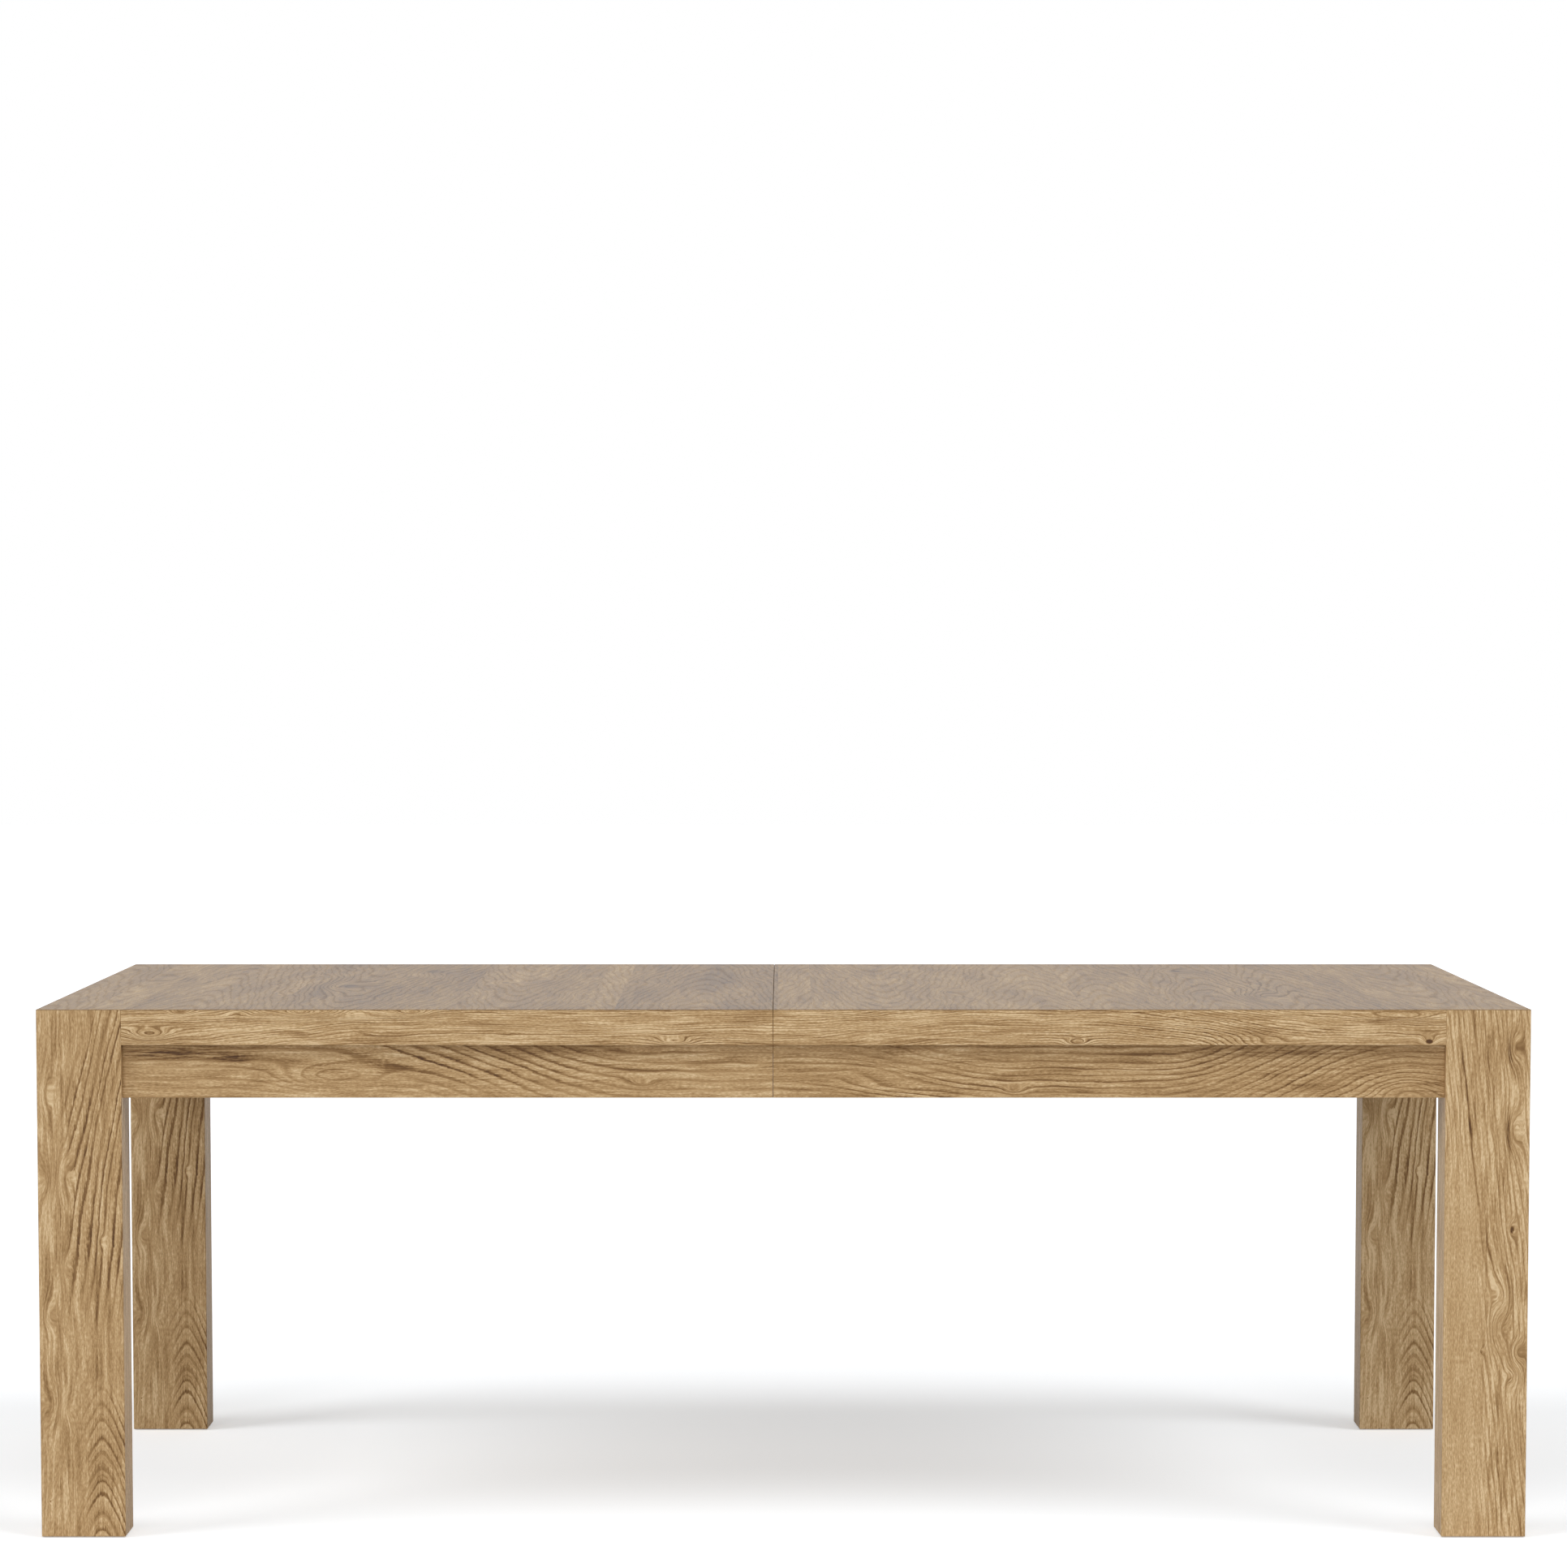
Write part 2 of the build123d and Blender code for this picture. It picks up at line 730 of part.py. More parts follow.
def latch_arm(end):
    """Arm swung open towards the middle of the table, with an arc slot for the stud."""
    slot_half = keeper_neck_radius + keeper_slot_play
    slot_end = math.degrees(keeper_slot_play / latch_reach)
    outline = Circle(latch_hub_radius)
    outline += Pos((latch_reach - latch_tail) / 2, 0) * Rectangle(latch_reach + latch_tail, latch_arm_width)
    outline += Pos(latch_reach, 0) * Circle(latch_head_radius)
    ring = Circle(latch_reach + slot_half) - Circle(latch_reach - slot_half)
    far = 2 * latch_reach
    mouth = make_face(Polyline((0, 0), (0, -far), (far, -far), (far, 0), close=True))
    outline -= Rot(0, 0, slot_end) * (ring & mouth)
    outline -= Rot(0, 0, slot_end) * Pos(latch_reach, 0) * Circle(slot_half)
    outline -= Circle(latch_pivot_radius + running_fit)
    arm = extrude(outline, amount=latch_arm_thickness)
    tab_x = (-latch_tail - latch_tab_thickness, -latch_tail)
    tab_y = (-latch_tab_width / 2, latch_tab_width / 2)
    arm += block(tab_x, tab_y, (-latch_tab_drop, latch_arm_thickness))
    arm = Pos(latch_pivot_x, -latch_y, latch_arm_bottom) * Rot(0, 0, latch_swing) * arm
    return arm if end < 0 else mirror(arm, about=Plane.XZ)


# Stored leaf and its runners

def leaf_cap():
    """Thin plate over the leaf's whole face, mitred under its two ends."""
    x_span = (leaf_start, leaf_end)
    y_span = (-leaf_half, leaf_half)
    cap = block(x_span, y_span, (leaf_face, leaf_face + cap_thickness))
    cap -= mitre_cut_x(leaf_start, 1, y_span, leaf_face, 1)
    cap -= mitre_cut_x(leaf_end, -1, y_span, leaf_face, 1)
    return cap


def leaf_pin_planes(edge):
    """Planes on one long edge of the leaf that look into its panel."""
    z = leaf_face + pin_depth
    return [Plane(origin=(leaf_centre + x, edge * leaf_half, z), z_dir=(0, -edge, 0)) for x in pin_offsets]


def leaf_panel():
    core_x = (leaf_start + band_depth, leaf_end - band_depth)
    core = block(core_x, (-leaf_half, leaf_half), (leaf_face, leaf_face + panel_thickness))
    cap = leaf_cap()
    arrises = cap.edges().filter_by(Axis.Y).group_by(Axis.Z)[0]
    panel = core + fillet(arrises, arris_round)
    for plane in leaf_pin_planes(1):
        panel -= bar(plane, -hole_spare, pin_grip, pin_radius + seated_fit)
    for plane in leaf_pin_planes(-1):
        panel -= bar(plane, -hole_spare, sleeve_length, sleeve_radius + seated_fit)
    return panel


def leaf_band(x_edge, inward):
    band = block(
        (x_edge, x_edge + inward * band_depth),
        (-leaf_half, leaf_half),
        (leaf_face, leaf_face + band_height),
    )
    outer = band.faces().sort_by(Axis.X)[0 if inward > 0 else -1]
    lower = outer.edges().sort_by(Axis.Z)[0]
    band = fillet([edge for edge in outer.edges() if edge != lower], band_round)
    return band - leaf_cap()


def leaf_runner(end):
    """Wooden angle under the left panel, with its ledge beneath one long edge of the leaf."""
    ledge_top = leaf_face - runner_play
    x_span = (leaf_start + runner_start, seam_x - runner_seam_gap)
    ledge_y = (end * (leaf_half - runner_ledge), end * runner_outer)
    runner = block(x_span, ledge_y, (ledge_top - runner_ledge_thickness, ledge_top))
    runner += block(x_span, (end * runner_inner, end * runner_outer), (ledge_top, panel_bottom))
    for place in runner_screw_places(end):
        runner -= screw_hole(*place)
        pocket_bottom = ledge_top - runner_ledge_thickness
        runner -= screw_pocket(place[0], place[1], pocket_bottom, place[2], runner_screw)
    return runner


# Every node, by name
nodes = {}
for side, half in halves.items():
    nodes[f"{half}_top_panel"] = top_panel(side)
    nodes[f"{half}_end_band"] = end_band(side)
    nodes[f"{half}_end_apron"] = end_apron(side)
    nodes[f"{half}_corner_braces"] = group([corner_brace(side, end) for end in ends])
    planes = [plane for end in ends for plane in bolt_planes(side, end)]
    nodes[f"{half}_leg_bolts"] = group([leg_bolt(plane) for plane in planes])
    nodes[f"{half}_leg_nuts"] = group([leg_nut(plane) for plane in planes])
    nodes[f"{half}_gear_racks"] = group([gear_rack(side, end) for end in ends])
    places = [place for end in ends for place in rail_screw_places(side, end)]
    nodes[f"{half}_rail_screws"] = group([screw(*place) for place in places])
    nodes[f"{half}_foot_inserts"] = group([foot_insert(side, end) for end in ends])
    for end, where in ends.items():
        nodes[f"{half}_{where}_band"] = long_band(side, end)
        nodes[f"{half}_{where}_apron"] = long_apron(side, end)
        nodes[f"{half}_{where}_leg"] = leg(side, end)
        nodes[f"{half}_{where}_rail"] = slide_rail(side, end)
        nodes[f"{half}_{where}_foot"] = foot(side, end)

for end, where in ends.items():
    nodes[f"{where}_centre_rail"] = centre_rail(end)
    nodes[f"{where}_pinion_axle"] = pinion_axle(end)
    nodes[f"{where}_pinion"] = pinion(end)
    nodes[f"{where}_latch_arm"] = latch_arm(end)
    nodes[f"{where}_leaf_runner"] = leaf_runner(end)

nodes["seam_pins"] = group([pin(seam_pin_plane(-1, offset)) for offset in pin_offsets])
nodes["seam_sleeves"] = group([sleeve(seam_pin_plane(1, offset)) for offset in pin_offsets])
nodes["latch_plates"] = group([latch_plate(end) for end in ends])
nodes["latch_keepers"] = group([latch_keeper(end) for end in ends])
nodes["latch_screws"] = group([screw(*place) for end in ends for place in latch_screw_places(end)])
nodes["keeper_screws"] = group([screw(*place) for end in ends for place in keeper_screw_places(end)])
nodes["runner_screws"] = group([screw(*place) for end in ends for place in runner_screw_places(end)])
nodes["leaf_panel"] = leaf_panel()
nodes["leaf_front_band"] = leaf_band(leaf_start, 1)
nodes["leaf_back_band"] = leaf_band(leaf_end, -1)
nodes["leaf_pins"] = group([pin(plane) for plane in leaf_pin_planes(1)])
nodes["leaf_sleeves"] = group([sleeve(plane) for plane in leaf_pin_planes(-1)])

os.makedirs("parts", exist_ok=True)
for name, shape in nodes.items():
    export_step(shape, f"parts/{name}.step")
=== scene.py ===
"""An extending oak dining table: its finishes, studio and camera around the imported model.

Lengths are in metres, as in the frame, except in the wood figures, which are drawn in millimetres.
"""
import math
from collections import namedtuple

import bpy
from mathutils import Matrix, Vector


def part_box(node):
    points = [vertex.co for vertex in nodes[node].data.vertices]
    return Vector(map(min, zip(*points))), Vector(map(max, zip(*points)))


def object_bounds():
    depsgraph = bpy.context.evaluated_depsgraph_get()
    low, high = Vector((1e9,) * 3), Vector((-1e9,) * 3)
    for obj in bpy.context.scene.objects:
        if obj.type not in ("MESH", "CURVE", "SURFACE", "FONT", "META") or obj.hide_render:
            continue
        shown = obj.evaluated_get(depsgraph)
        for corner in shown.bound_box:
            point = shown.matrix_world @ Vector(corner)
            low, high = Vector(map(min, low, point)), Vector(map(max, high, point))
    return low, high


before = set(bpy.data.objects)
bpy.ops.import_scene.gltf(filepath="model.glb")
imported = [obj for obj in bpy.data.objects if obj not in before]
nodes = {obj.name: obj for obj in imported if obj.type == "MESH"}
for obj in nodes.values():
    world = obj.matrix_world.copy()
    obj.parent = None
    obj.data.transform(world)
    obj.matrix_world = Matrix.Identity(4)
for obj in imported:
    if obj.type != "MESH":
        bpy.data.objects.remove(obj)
cad_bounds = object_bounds()

MM = 1000.0


# Camera

# The focal length is in pixels of an image of this height, and the pitch in degrees down from level
IMAGE_HEIGHT = 1932
FOCAL_PIXELS = 5668.8
SENSOR_MM = 36.0
CAMERA_PLACE = (0.0, -7.0538, 1.2454)
CAMERA_LEVEL = 90.0
CAMERA_PITCH = 4.109
CAMERA_SHIFT = 0.138


# Light

WHITE = (1.0, 1.0, 1.0, 1.0)
SKY_LIGHT = 0.18
BACKDROP_LIGHT = 1.0

# A lamp shines from the direction of its source; its spread, in degrees, softens its shadows
Lamp = namedtuple("Lamp", "name strength source spread")
LAMPS = (
    Lamp("left_light", 1.05, (-1.00, -0.48, 1.0), 28.0),
    Lamp("right_light", 0.95, (0.85, -0.48, 1.0), 28.0),
    Lamp("front_light", 1.08, (-0.10, -1.0, 0.36), 45.0),
    Lamp("back_light", 0.35, (0.20, 1.0, 0.30), 60.0),
)
LAMP_DISTANCE = 4.0

# The floor as the table is lit by it, and as the camera shows it: a pale colour and a plain glow
FLOOR_SIZE = 60.0
FLOOR_BOUNCE = (0.60, 0.60, 0.60, 1.0)
FLOOR_COLOUR = (0.845, 0.870, 0.895, 1.0)
FLOOR_GLOW = 0.45


# Colours

SRGB_TOP = 255
SRGB_TOE = 0.04045
SRGB_TOE_SLOPE = 12.92
SRGB_OFFSET = 0.055
SRGB_POWER = 2.4


def srgb(red, green, blue):
    """Linear colour of an 8-bit sRGB colour."""
    linear = []
    for level in (red, green, blue):
        share = level / SRGB_TOP
        if share <= SRGB_TOE:
            linear.append(share / SRGB_TOE_SLOPE)
        else:
            linear.append(((share + SRGB_OFFSET) / (1.0 + SRGB_OFFSET)) ** SRGB_POWER)
    return (*linear, 1.0)


# Fields: shader nodes written as arithmetic

class Field:
    """A number that varies over a surface; arithmetic on it adds Math nodes."""

    def __init__(self, tree, socket):
        self.tree = tree
        self.socket = socket

    def math(self, operation, *others):
        node = self.tree.nodes.new("ShaderNodeMath")
        node.operation = operation
        for place, value in enumerate((self, *others)):
            feed(self.tree, node.inputs[place], value)
        return Field(self.tree, node.outputs[0])

    def __add__(self, other):
        return self.math("ADD", other)

    __radd__ = __add__

    def __sub__(self, other):
        return self.math("SUBTRACT", other)

    def __rsub__(self, other):
        return self.math("MULTIPLY_ADD", -1.0, other)

    def __mul__(self, other):
        return self.math("MULTIPLY", other)

    __rmul__ = __mul__

    def __truediv__(self, other):
        return self.math("DIVIDE", other)

    def __neg__(self):
        return self * -1.0

    def __abs__(self):
        return self.math("ABSOLUTE")

    def root(self):
        return self.math("SQRT")

    def exp(self):
        return self.math("EXPONENT")

    def fraction(self):
        return self.math("FRACT")

    def above(self, level):
        return self.math("GREATER_THAN", level)

    def at_least(self, level):
        return self.math("MAXIMUM", level)

    def smooth(self, low, high):
        """0 below low, 1 above high, with an eased rise between."""
        node = self.tree.nodes.new("ShaderNodeMapRange")
        node.interpolation_type = "SMOOTHSTEP"
        feed(self.tree, node.inputs["Value"], self)
        feed(self.tree, node.inputs["From Min"], low)
        feed(self.tree, node.inputs["From Max"], high)
        return Field(self.tree, node.outputs["Result"])

    def hump(self, rise, fall):
        """0 before the rise, 1 after it and 0 again after the fall, each a pair of low and high."""
        return self.smooth(*rise) * (1.0 - self.smooth(*fall))

    def toward(self, other, share):
        """This field where share is 0, the other where it is 1."""
        return self + (other - self) * share


def feed(tree, socket, value):
    """Links a field to a socket, or sets the socket to a plain number."""
    if isinstance(value, Field):
        tree.links.new(value.socket, socket)
    else:
        socket.default_value = value


# A layer of noise: the size of its cells across and along the grain, and the step from its wood's seed
Layer = namedtuple("Layer", "across along step detail roughness", defaults=(2.0, 0.5))


def layer_noise(layer, across, along, seed):
    """Smooth noise from about -1 to 1 in cells of the layer's size."""
    tree = across.tree
    place = tree.nodes.new("ShaderNodeCombineXYZ")
    feed(tree, place.inputs["X"], across / layer.across)
    feed(tree, place.inputs["Y"], along / layer.along)
    feed(tree, place.inputs["Z"], seed + layer.step)
    texture = tree.nodes.new("ShaderNodeTexNoise")
    texture.inputs["Scale"].default_value = 1.0
    texture.inputs["Detail"].default_value = layer.detail
    texture.inputs["Roughness"].default_value = layer.roughness
    tree.links.new(place.outputs[0], texture.inputs["Vector"])
    return Field(tree, texture.outputs[0]).math("MULTIPLY_ADD", 2.0, -1.0)


def ramp(field, stops, interpolation="LINEAR"):
    """Colour socket of a colour ramp with (place, colour) stops."""
    node = field.tree.nodes.new("ShaderNodeValToRGB")
    node.color_ramp.interpolation = interpolation
    elements = node.color_ramp.elements
    while len(elements) < len(stops):
        elements.new(1.0)
    for element, (place, colour) in zip(elements, stops):
        element.position = place
        element.color = colour
    feed(field.tree, node.inputs[0], field)
    return node.outputs["Color"]


def channels(tree, colour):
    """The three numbers of a colour socket, as fields."""
    node = tree.nodes.new("ShaderNodeSeparateColor")
    tree.links.new(colour, node.inputs[0])
    return [Field(tree, output) for output in node.outputs[:3]]


# Materials

def new_material(name):
    """A material with only a Principled shader and an output; returns it with its tree and shader."""
    material = bpy.data.materials.new(name)
    material.use_nodes = True
    tree = material.node_tree
    tree.nodes.clear()
    shader = tree.nodes.new("ShaderNodeBsdfPrincipled")
    output = tree.nodes.new("ShaderNodeOutputMaterial")
    tree.links.new(shader.outputs[0], output.inputs["Surface"])
    return material, tree, shader


def bump(tree, shader, height, distance):
    """Raises the surface by a height field of 0 to 1, times a distance in metres."""
    node = tree.nodes.new("ShaderNodeBump")
    node.inputs["Distance"].default_value = distance
    feed(tree, node.inputs["Height"], height)
    tree.links.new(node.outputs[0], shader.inputs["Normal"])


def colour_by(value, shader, stops):
    """Colours a shader by a field of 0 to 1 through (place, colour) stops."""
    value.tree.links.new(ramp(value, stops), shader.inputs["Base Color"])


def coordinates(tree, output):
    """The three fields of a Texture Coordinate output."""
    source = tree.nodes.new("ShaderNodeTexCoord")
    split = tree.nodes.new("ShaderNodeSeparateXYZ")
    tree.links.new(source.outputs[output], split.inputs[0])
    return [Field(tree, part) for part in split.outputs]


def place_fields(tree):
    """Place in the table's frame, in millimetres."""
    return [field * MM for field in coordinates(tree, "Object")]


FACE_TURN = 0.7
PITH_DEPTH = 60.0


def grain_fields(tree, along):
    """Across-grain and along-grain place, for wood whose grain runs along X, Y or Z.

    Across is measured on whichever face is looked at, and an end cut shows arcs about the pith.
    Returns them with a field that is 1 on the faces turned to the side.
    """
    x, y, z = place_fields(tree)
    normal_x, normal_y, normal_z = coordinates(tree, "Normal")
    first, second, length, turn, end = {
        "X": (z, y, x, normal_z, normal_x),
        "Y": (x, z, y, normal_x, normal_y),
        "Z": (x, y, z, normal_x, normal_z),
    }[along]
    side = abs(turn).above(FACE_TURN)
    cut = abs(end).above(FACE_TURN)
    depth = second + PITH_DEPTH
    arcs = (first * first + depth * depth).root()
    across = first.toward(second, side).toward(arcs, cut)
    return across, length, side


# Oak

OAK_COLOURS = (
    (0.00, srgb(79, 49, 22)),
    (0.28, srgb(126, 92, 53)),
    (0.50, srgb(160, 126, 82)),
    (0.64, srgb(180, 145, 100)),
    (0.74, srgb(193, 159, 113)),
    (0.83, srgb(206, 174, 129)),
    (1.00, srgb(230, 202, 159)),
)
# The top's oak colours are darker than those of the legs, bands and aprons: painted shade for the
# dimmer light on the top
SHADE_PAINTED_TOP_COLOURS = (
    (0.00, srgb(68, 43, 18)),
    (0.28, srgb(110, 82, 45)),
    (0.50, srgb(141, 111, 68)),
    (0.64, srgb(161, 131, 87)),
    (0.83, srgb(189, 162, 117)),
    (1.00, srgb(216, 191, 148)),
)

# A round patch of the figure: its middle, its reach across and along the grain, and what it does there.
# An eye pushes the fibres and rings aside by millimetres and may have a dark heart, a swell pushes the
# rings alone, a flame makes the rings bolder and a stain makes the wood darker.
Eye = namedtuple("Eye", "across along wide long push heart", defaults=(0.0,))
Swell = namedtuple("Swell", "across along wide long push")
Flame = namedtuple("Flame", "across along wide long gain")
Stain = namedtuple("Stain", "across along wide long depth")
# Rings that slide across the grain by a drop between two places along it
Lean = namedtuple("Lean", "start end drop")

SLOW_BENDS = Layer(55.0, 260.0, 0.0)
QUICK_BENDS = Layer(15.0, 70.0, 3.1)
HEART_EDGE = (0.75, 0.97)
STAIN_STREAKS = Layer(2.4, 45.0, 61.0, 3.0)
STAIN_EDGE = (-0.35, 0.30)


def patch(across, along, spot):
    """1 in the middle of a patch, falling away smoothly to 0."""
    off = (across - spot.across) / spot.wide
    down = (along - spot.along) / spot.long
    return (-(off * off + down * down)).exp()


def bent_grain(across, along, seed, wander, ripple, eyes=()):
    """Across-grain place as the fibres carry it, in wandering lines that part round eyes.

    Wander and ripple are how far, in millimetres, the lines stray slowly and quickly.
    Returns it with how dark the eyes' hearts are.
    """
    slow = layer_noise(SLOW_BENDS, across, along, seed)
    quick = layer_noise(QUICK_BENDS, across, along, seed)
    bent = across + slow * wander + quick * ripple
    heart = 0.0
    for eye in eyes:
        rise = patch(across, along, eye)
        bent = bent + rise * eye.push
        if eye.heart:
            heart = rise.smooth(*HEART_EDGE) * eye.heart + heart
    return bent, heart


def ring_place(bent, across, along, swells, leans):
    """Across-grain place as the growth rings carry it."""
    place = bent
    for swell in swells:
        place = place + patch(across, along, swell) * swell.push
    for lean in leans:
        place = place + along.smooth(lean.start, lean.end) * lean.drop
    return place


def ring_strength(across, along, base, flames):
    """How bold the growth rings are."""
    strength = base
    for flame in flames:
        strength = patch(across, along, flame) * flame.gain + strength
    return strength


def stain_depth(across, along, seed, stains):
    """How dark the stains are, streaked along the grain."""
    if not stains:
        return 0.0
    streak = layer_noise(STAIN_STREAKS, across, along, seed).smooth(*STAIN_EDGE)
    depth = 0.0
    for stain in stains:
        depth = patch(across, along, stain) * stain.depth + depth
    return depth * streak


def arches(bent, axis, flat, spacing):
    """Rings across a flat-sawn board: even on the flanks and rounded over about an axis."""
    off = (bent - axis) / flat
    return (off * off + 1.0).root() * (flat / spacing)


def hairlines(layer, across, along, seed, thin):
    """Long thin lines that wander, part and meet along the grain, 1 on the line and 0 off it."""
    return 1.0 - abs(layer_noise(layer, across, along, seed)).smooth(0.0, thin)


# Wood at a place: where the fibres carry it, its rings counted across the grain, how bold they are, and
# how light, stained, hairy and coarse it is
WOOD_FIELDS = "bent along rings seed strength tone dark hair fine colours"
Wood = namedtuple("Wood", WOOD_FIELDS, defaults=(OAK_COLOURS,))

# One ring, from its start at 0 to its end at 1: dark early wood with pores, then pale late wood
EARLY_RISE = (0.0, 0.06)
EARLY_FALL = (0.15, 0.42)
LATE_RISE = (0.45, 0.90)
LATE_FALL = (0.95, 1.0)
LATE_LIGHT = 0.12
PORE_DARK = 0.56
PORE_BASE = 0.85
PORE_SPECKS = 0.8

# Ring edges are ragged and rings uneven, here in ring widths, and some rings are bolder than others
RAGGED_SPECKS = 0.16
RAGGED_FIBRES = 0.24
UNEVEN_RINGS = Layer(2.6, 900.0, 9.0)
UNEVENNESS = 0.8
RING_VIGOUR = Layer(1.7, 240.0, 17.0)
VIGOUR_RISE = (-0.45, 0.40)
VIGOUR_BASE = 0.25
VIGOUR_GAIN = 0.8

# Thin faint lines between the rings, stronger where the rings are weak
THIN_COUNT = 2.3
THIN_RAGGED = 1.5
THIN_RISE = (0.0, 0.10)
THIN_FALL = (0.14, 0.46)
THIN_DARK = 0.16
THIN_VIGOUR = 1.1
THIN_BASE = 0.15
THIN_GAIN = 0.8


def ring_lines(wood, specks, fibres):
    """How far the growth rings lighten or darken the wood, and where their early wood is."""
    rings, along, seed, strength = wood.rings, wood.along, wood.seed, wood.strength
    uneven = rings + layer_noise(UNEVEN_RINGS, rings, along, seed) * UNEVENNESS
    ragged = specks * RAGGED_SPECKS + fibres * RAGGED_FIBRES
    phase = (uneven + ragged).fraction()
    early = phase.hump(EARLY_RISE, EARLY_FALL)
    late = phase.hump(LATE_RISE, LATE_FALL)
    thin = (uneven * THIN_COUNT + ragged * THIN_RAGGED).fraction().hump(THIN_RISE, THIN_FALL)
    vigour = layer_noise(RING_VIGOUR, rings, along, seed).smooth(*VIGOUR_RISE)
    pores = (specks * PORE_SPECKS + PORE_BASE) * early
    bold = (late * LATE_LIGHT - pores * PORE_DARK) * (vigour * VIGOUR_GAIN + VIGOUR_BASE) * strength
    faint = thin * (THIN_VIGOUR - vigour) * (strength * THIN_GAIN + THIN_BASE) * THIN_DARK
    return bold - faint, early


# The layers of plain oak, and how far each lightens or darkens it
SPECKS = Layer(1.4, 6.0, 7.0)
SPECK_SHADE = 0.34
FIBRES = Layer(1.8, 38.0, 23.0, 3.0, 0.6)
FIBRE_SHADE = 0.26
STREAKS = Layer(12.0, 300.0, 19.0)
STREAK_SHADE = 0.13
CLOUDS = Layer(50.0, 140.0, 37.0)
CLOUD_SHADE = 0.11
HAIRS = Layer(7.5, 140.0, 31.0, 1.5)
HAIR_WIDTH = 0.22
HAIR_DARK = 0.22
GLEAMS = Layer(9.0, 140.0, 53.0, 1.5)
GLEAM_WIDTH = 0.18
GLEAM_LIGHT = 0.16
FADING = Layer(9.0, 90.0, 41.0)
FADING_RISE = (-0.25, 0.45)
OAK_MIDDLE = 0.71
OAK_ROUGHNESS = 0.50
ROUGH_FIBRES = 0.06
ROUGH_PORES = 0.06
OAK_BUMP = 0.00006


def oak_surface(tree, shader, wood):
    """Colour, roughness and relief of oak from its pores, fibres, hairlines and growth rings."""
    bent, along, seed = wood.bent, wood.along, wood.seed
    fine = bent / wood.fine
    specks = layer_noise(SPECKS, bent, along, seed)
    fibres = layer_noise(FIBRES, fine, along, seed)
    streaks = layer_noise(STREAKS, bent, along, seed)
    clouds = layer_noise(CLOUDS, bent, along, seed)
    fading = layer_noise(FADING, bent, along, seed).smooth(*FADING_RISE)
    hairs = hairlines(HAIRS, fine, along, seed, HAIR_WIDTH) * fading
    gleams = hairlines(GLEAMS, fine, along, seed, GLEAM_WIDTH) * (1.0 - fading)
    lines, early = ring_lines(wood, specks, fibres)
    value = lines + specks * SPECK_SHADE + fibres * FIBRE_SHADE
    value = value + streaks * STREAK_SHADE + clouds * CLOUD_SHADE
    value = value + (gleams * GLEAM_LIGHT - hairs * HAIR_DARK) * wood.hair
    value = value + (wood.tone + OAK_MIDDLE) - wood.dark
    colour_by(value, shader, wood.colours)
    roughness = fibres * ROUGH_FIBRES + early * ROUGH_PORES + OAK_ROUGHNESS
    feed(tree, shader.inputs["Roughness"], roughness)
    bump(tree, shader, value, OAK_BUMP)


TOP_GLOSS = 0.42
FACE_GLOSS = 0.25


def oak_material(name, gloss):
    material, tree, shader = new_material(name)
    shader.inputs["Specular IOR Level"].default_value = gloss
    return material, tree, shader


# Top: veneer boards that run from front to back

# A board starts at its left edge; its arches stand on its axis, and its seed is a share of the span
Board = namedtuple("Board", "edge tone axis seed")
TOP_BOARDS = (
    Board(-1067, 0.00, -1060, 0.10),
    Board(-1000, 0.07, -980, 0.35),
    Board(-943, 0.00, -860, 0.62),
    Board(-740, -0.07, -640, 0.81),
    Board(-480, -0.01, -400, 0.23),
    Board(-284, 0.06, -330, 0.94),
    Board(-245, -0.08, -120, 0.47),
    Board(-15, 0.02, 60, 0.71),
    Board(41, 0.00, 150, 0.16),
    Board(283, 0.04, 380, 0.55),
    Board(431, -0.02, 480, 0.88),
    Board(551, -0.04, 640, 0.29),
    Board(712, -0.08, 770, 0.76),
    Board(860, -0.01, 950, 0.05),
    Board(1026, 0.05, 1060, 0.50),
)
TOP_LENGTH = (cad_bounds[1].x - cad_bounds[0].x) * MM
TOP_EYES = (
    Eye(-667, -20, 32, 75, 50, 0.25),
    Eye(-560, 320, 30, 90, 25, 0.2),
    Eye(-960, 150, 14, 60, -24),
    Eye(-430, 60, 12, 30, 20, 0.3),
    Eye(630, 330, 22, 55, 35, 0.3),
    Eye(705, -260, 30, 120, 45, 0.1),
    Eye(250, -150, 18, 60, 22, 0.15),
)
TOP_FLAMES = (
    Flame(-667, -20, 90, 260, 0.35),
    Flame(720, -100, 80, 300, 0.30),
    Flame(-430, 60, 60, 200, 0.10),
)
TONE_SPAN = 0.5
TONE_MIDDLE = 0.5
SEED_SPAN = 40.0
# Painted shade: the top's tone is lowered further for the dimmer light on the top
SHADE_PAINTED_TOP_TONE = -0.32
TOP_SHADES = Layer(70.0, 420.0, 71.0)
TOP_SHADE_DEPTH = 0.26
TOP_WANDER = 22.0
TOP_RIPPLE = 2.0
TOP_ARCH_FLAT = 30.0
TOP_RING_SPACING = 10.0
TOP_RING_LENGTH = 120.0
TOP_STRENGTH = 0.12
TOP_HAIR = 0.5
TOP_FINE = 1.6


def top_share(place):
    """Place along the table's length as a share of it, from its left end."""
    return (place + TOP_LENGTH / 2) / TOP_LENGTH


def board_fields(tree, across):
    """Tone, axis and seed of the board at a place, kept as the colours of a stepped ramp."""
    stops = []
    for board in TOP_BOARDS:
        tone = board.tone / TONE_SPAN + TONE_MIDDLE
        stops.append((top_share(board.edge), (tone, top_share(board.axis), board.seed, 1.0)))
    tone, axis, seed = channels(tree, ramp(top_share(across), stops, "CONSTANT"))
    tone = (tone - TONE_MIDDLE) * TONE_SPAN
    return tone, axis * TOP_LENGTH - TOP_LENGTH / 2, seed * SEED_SPAN


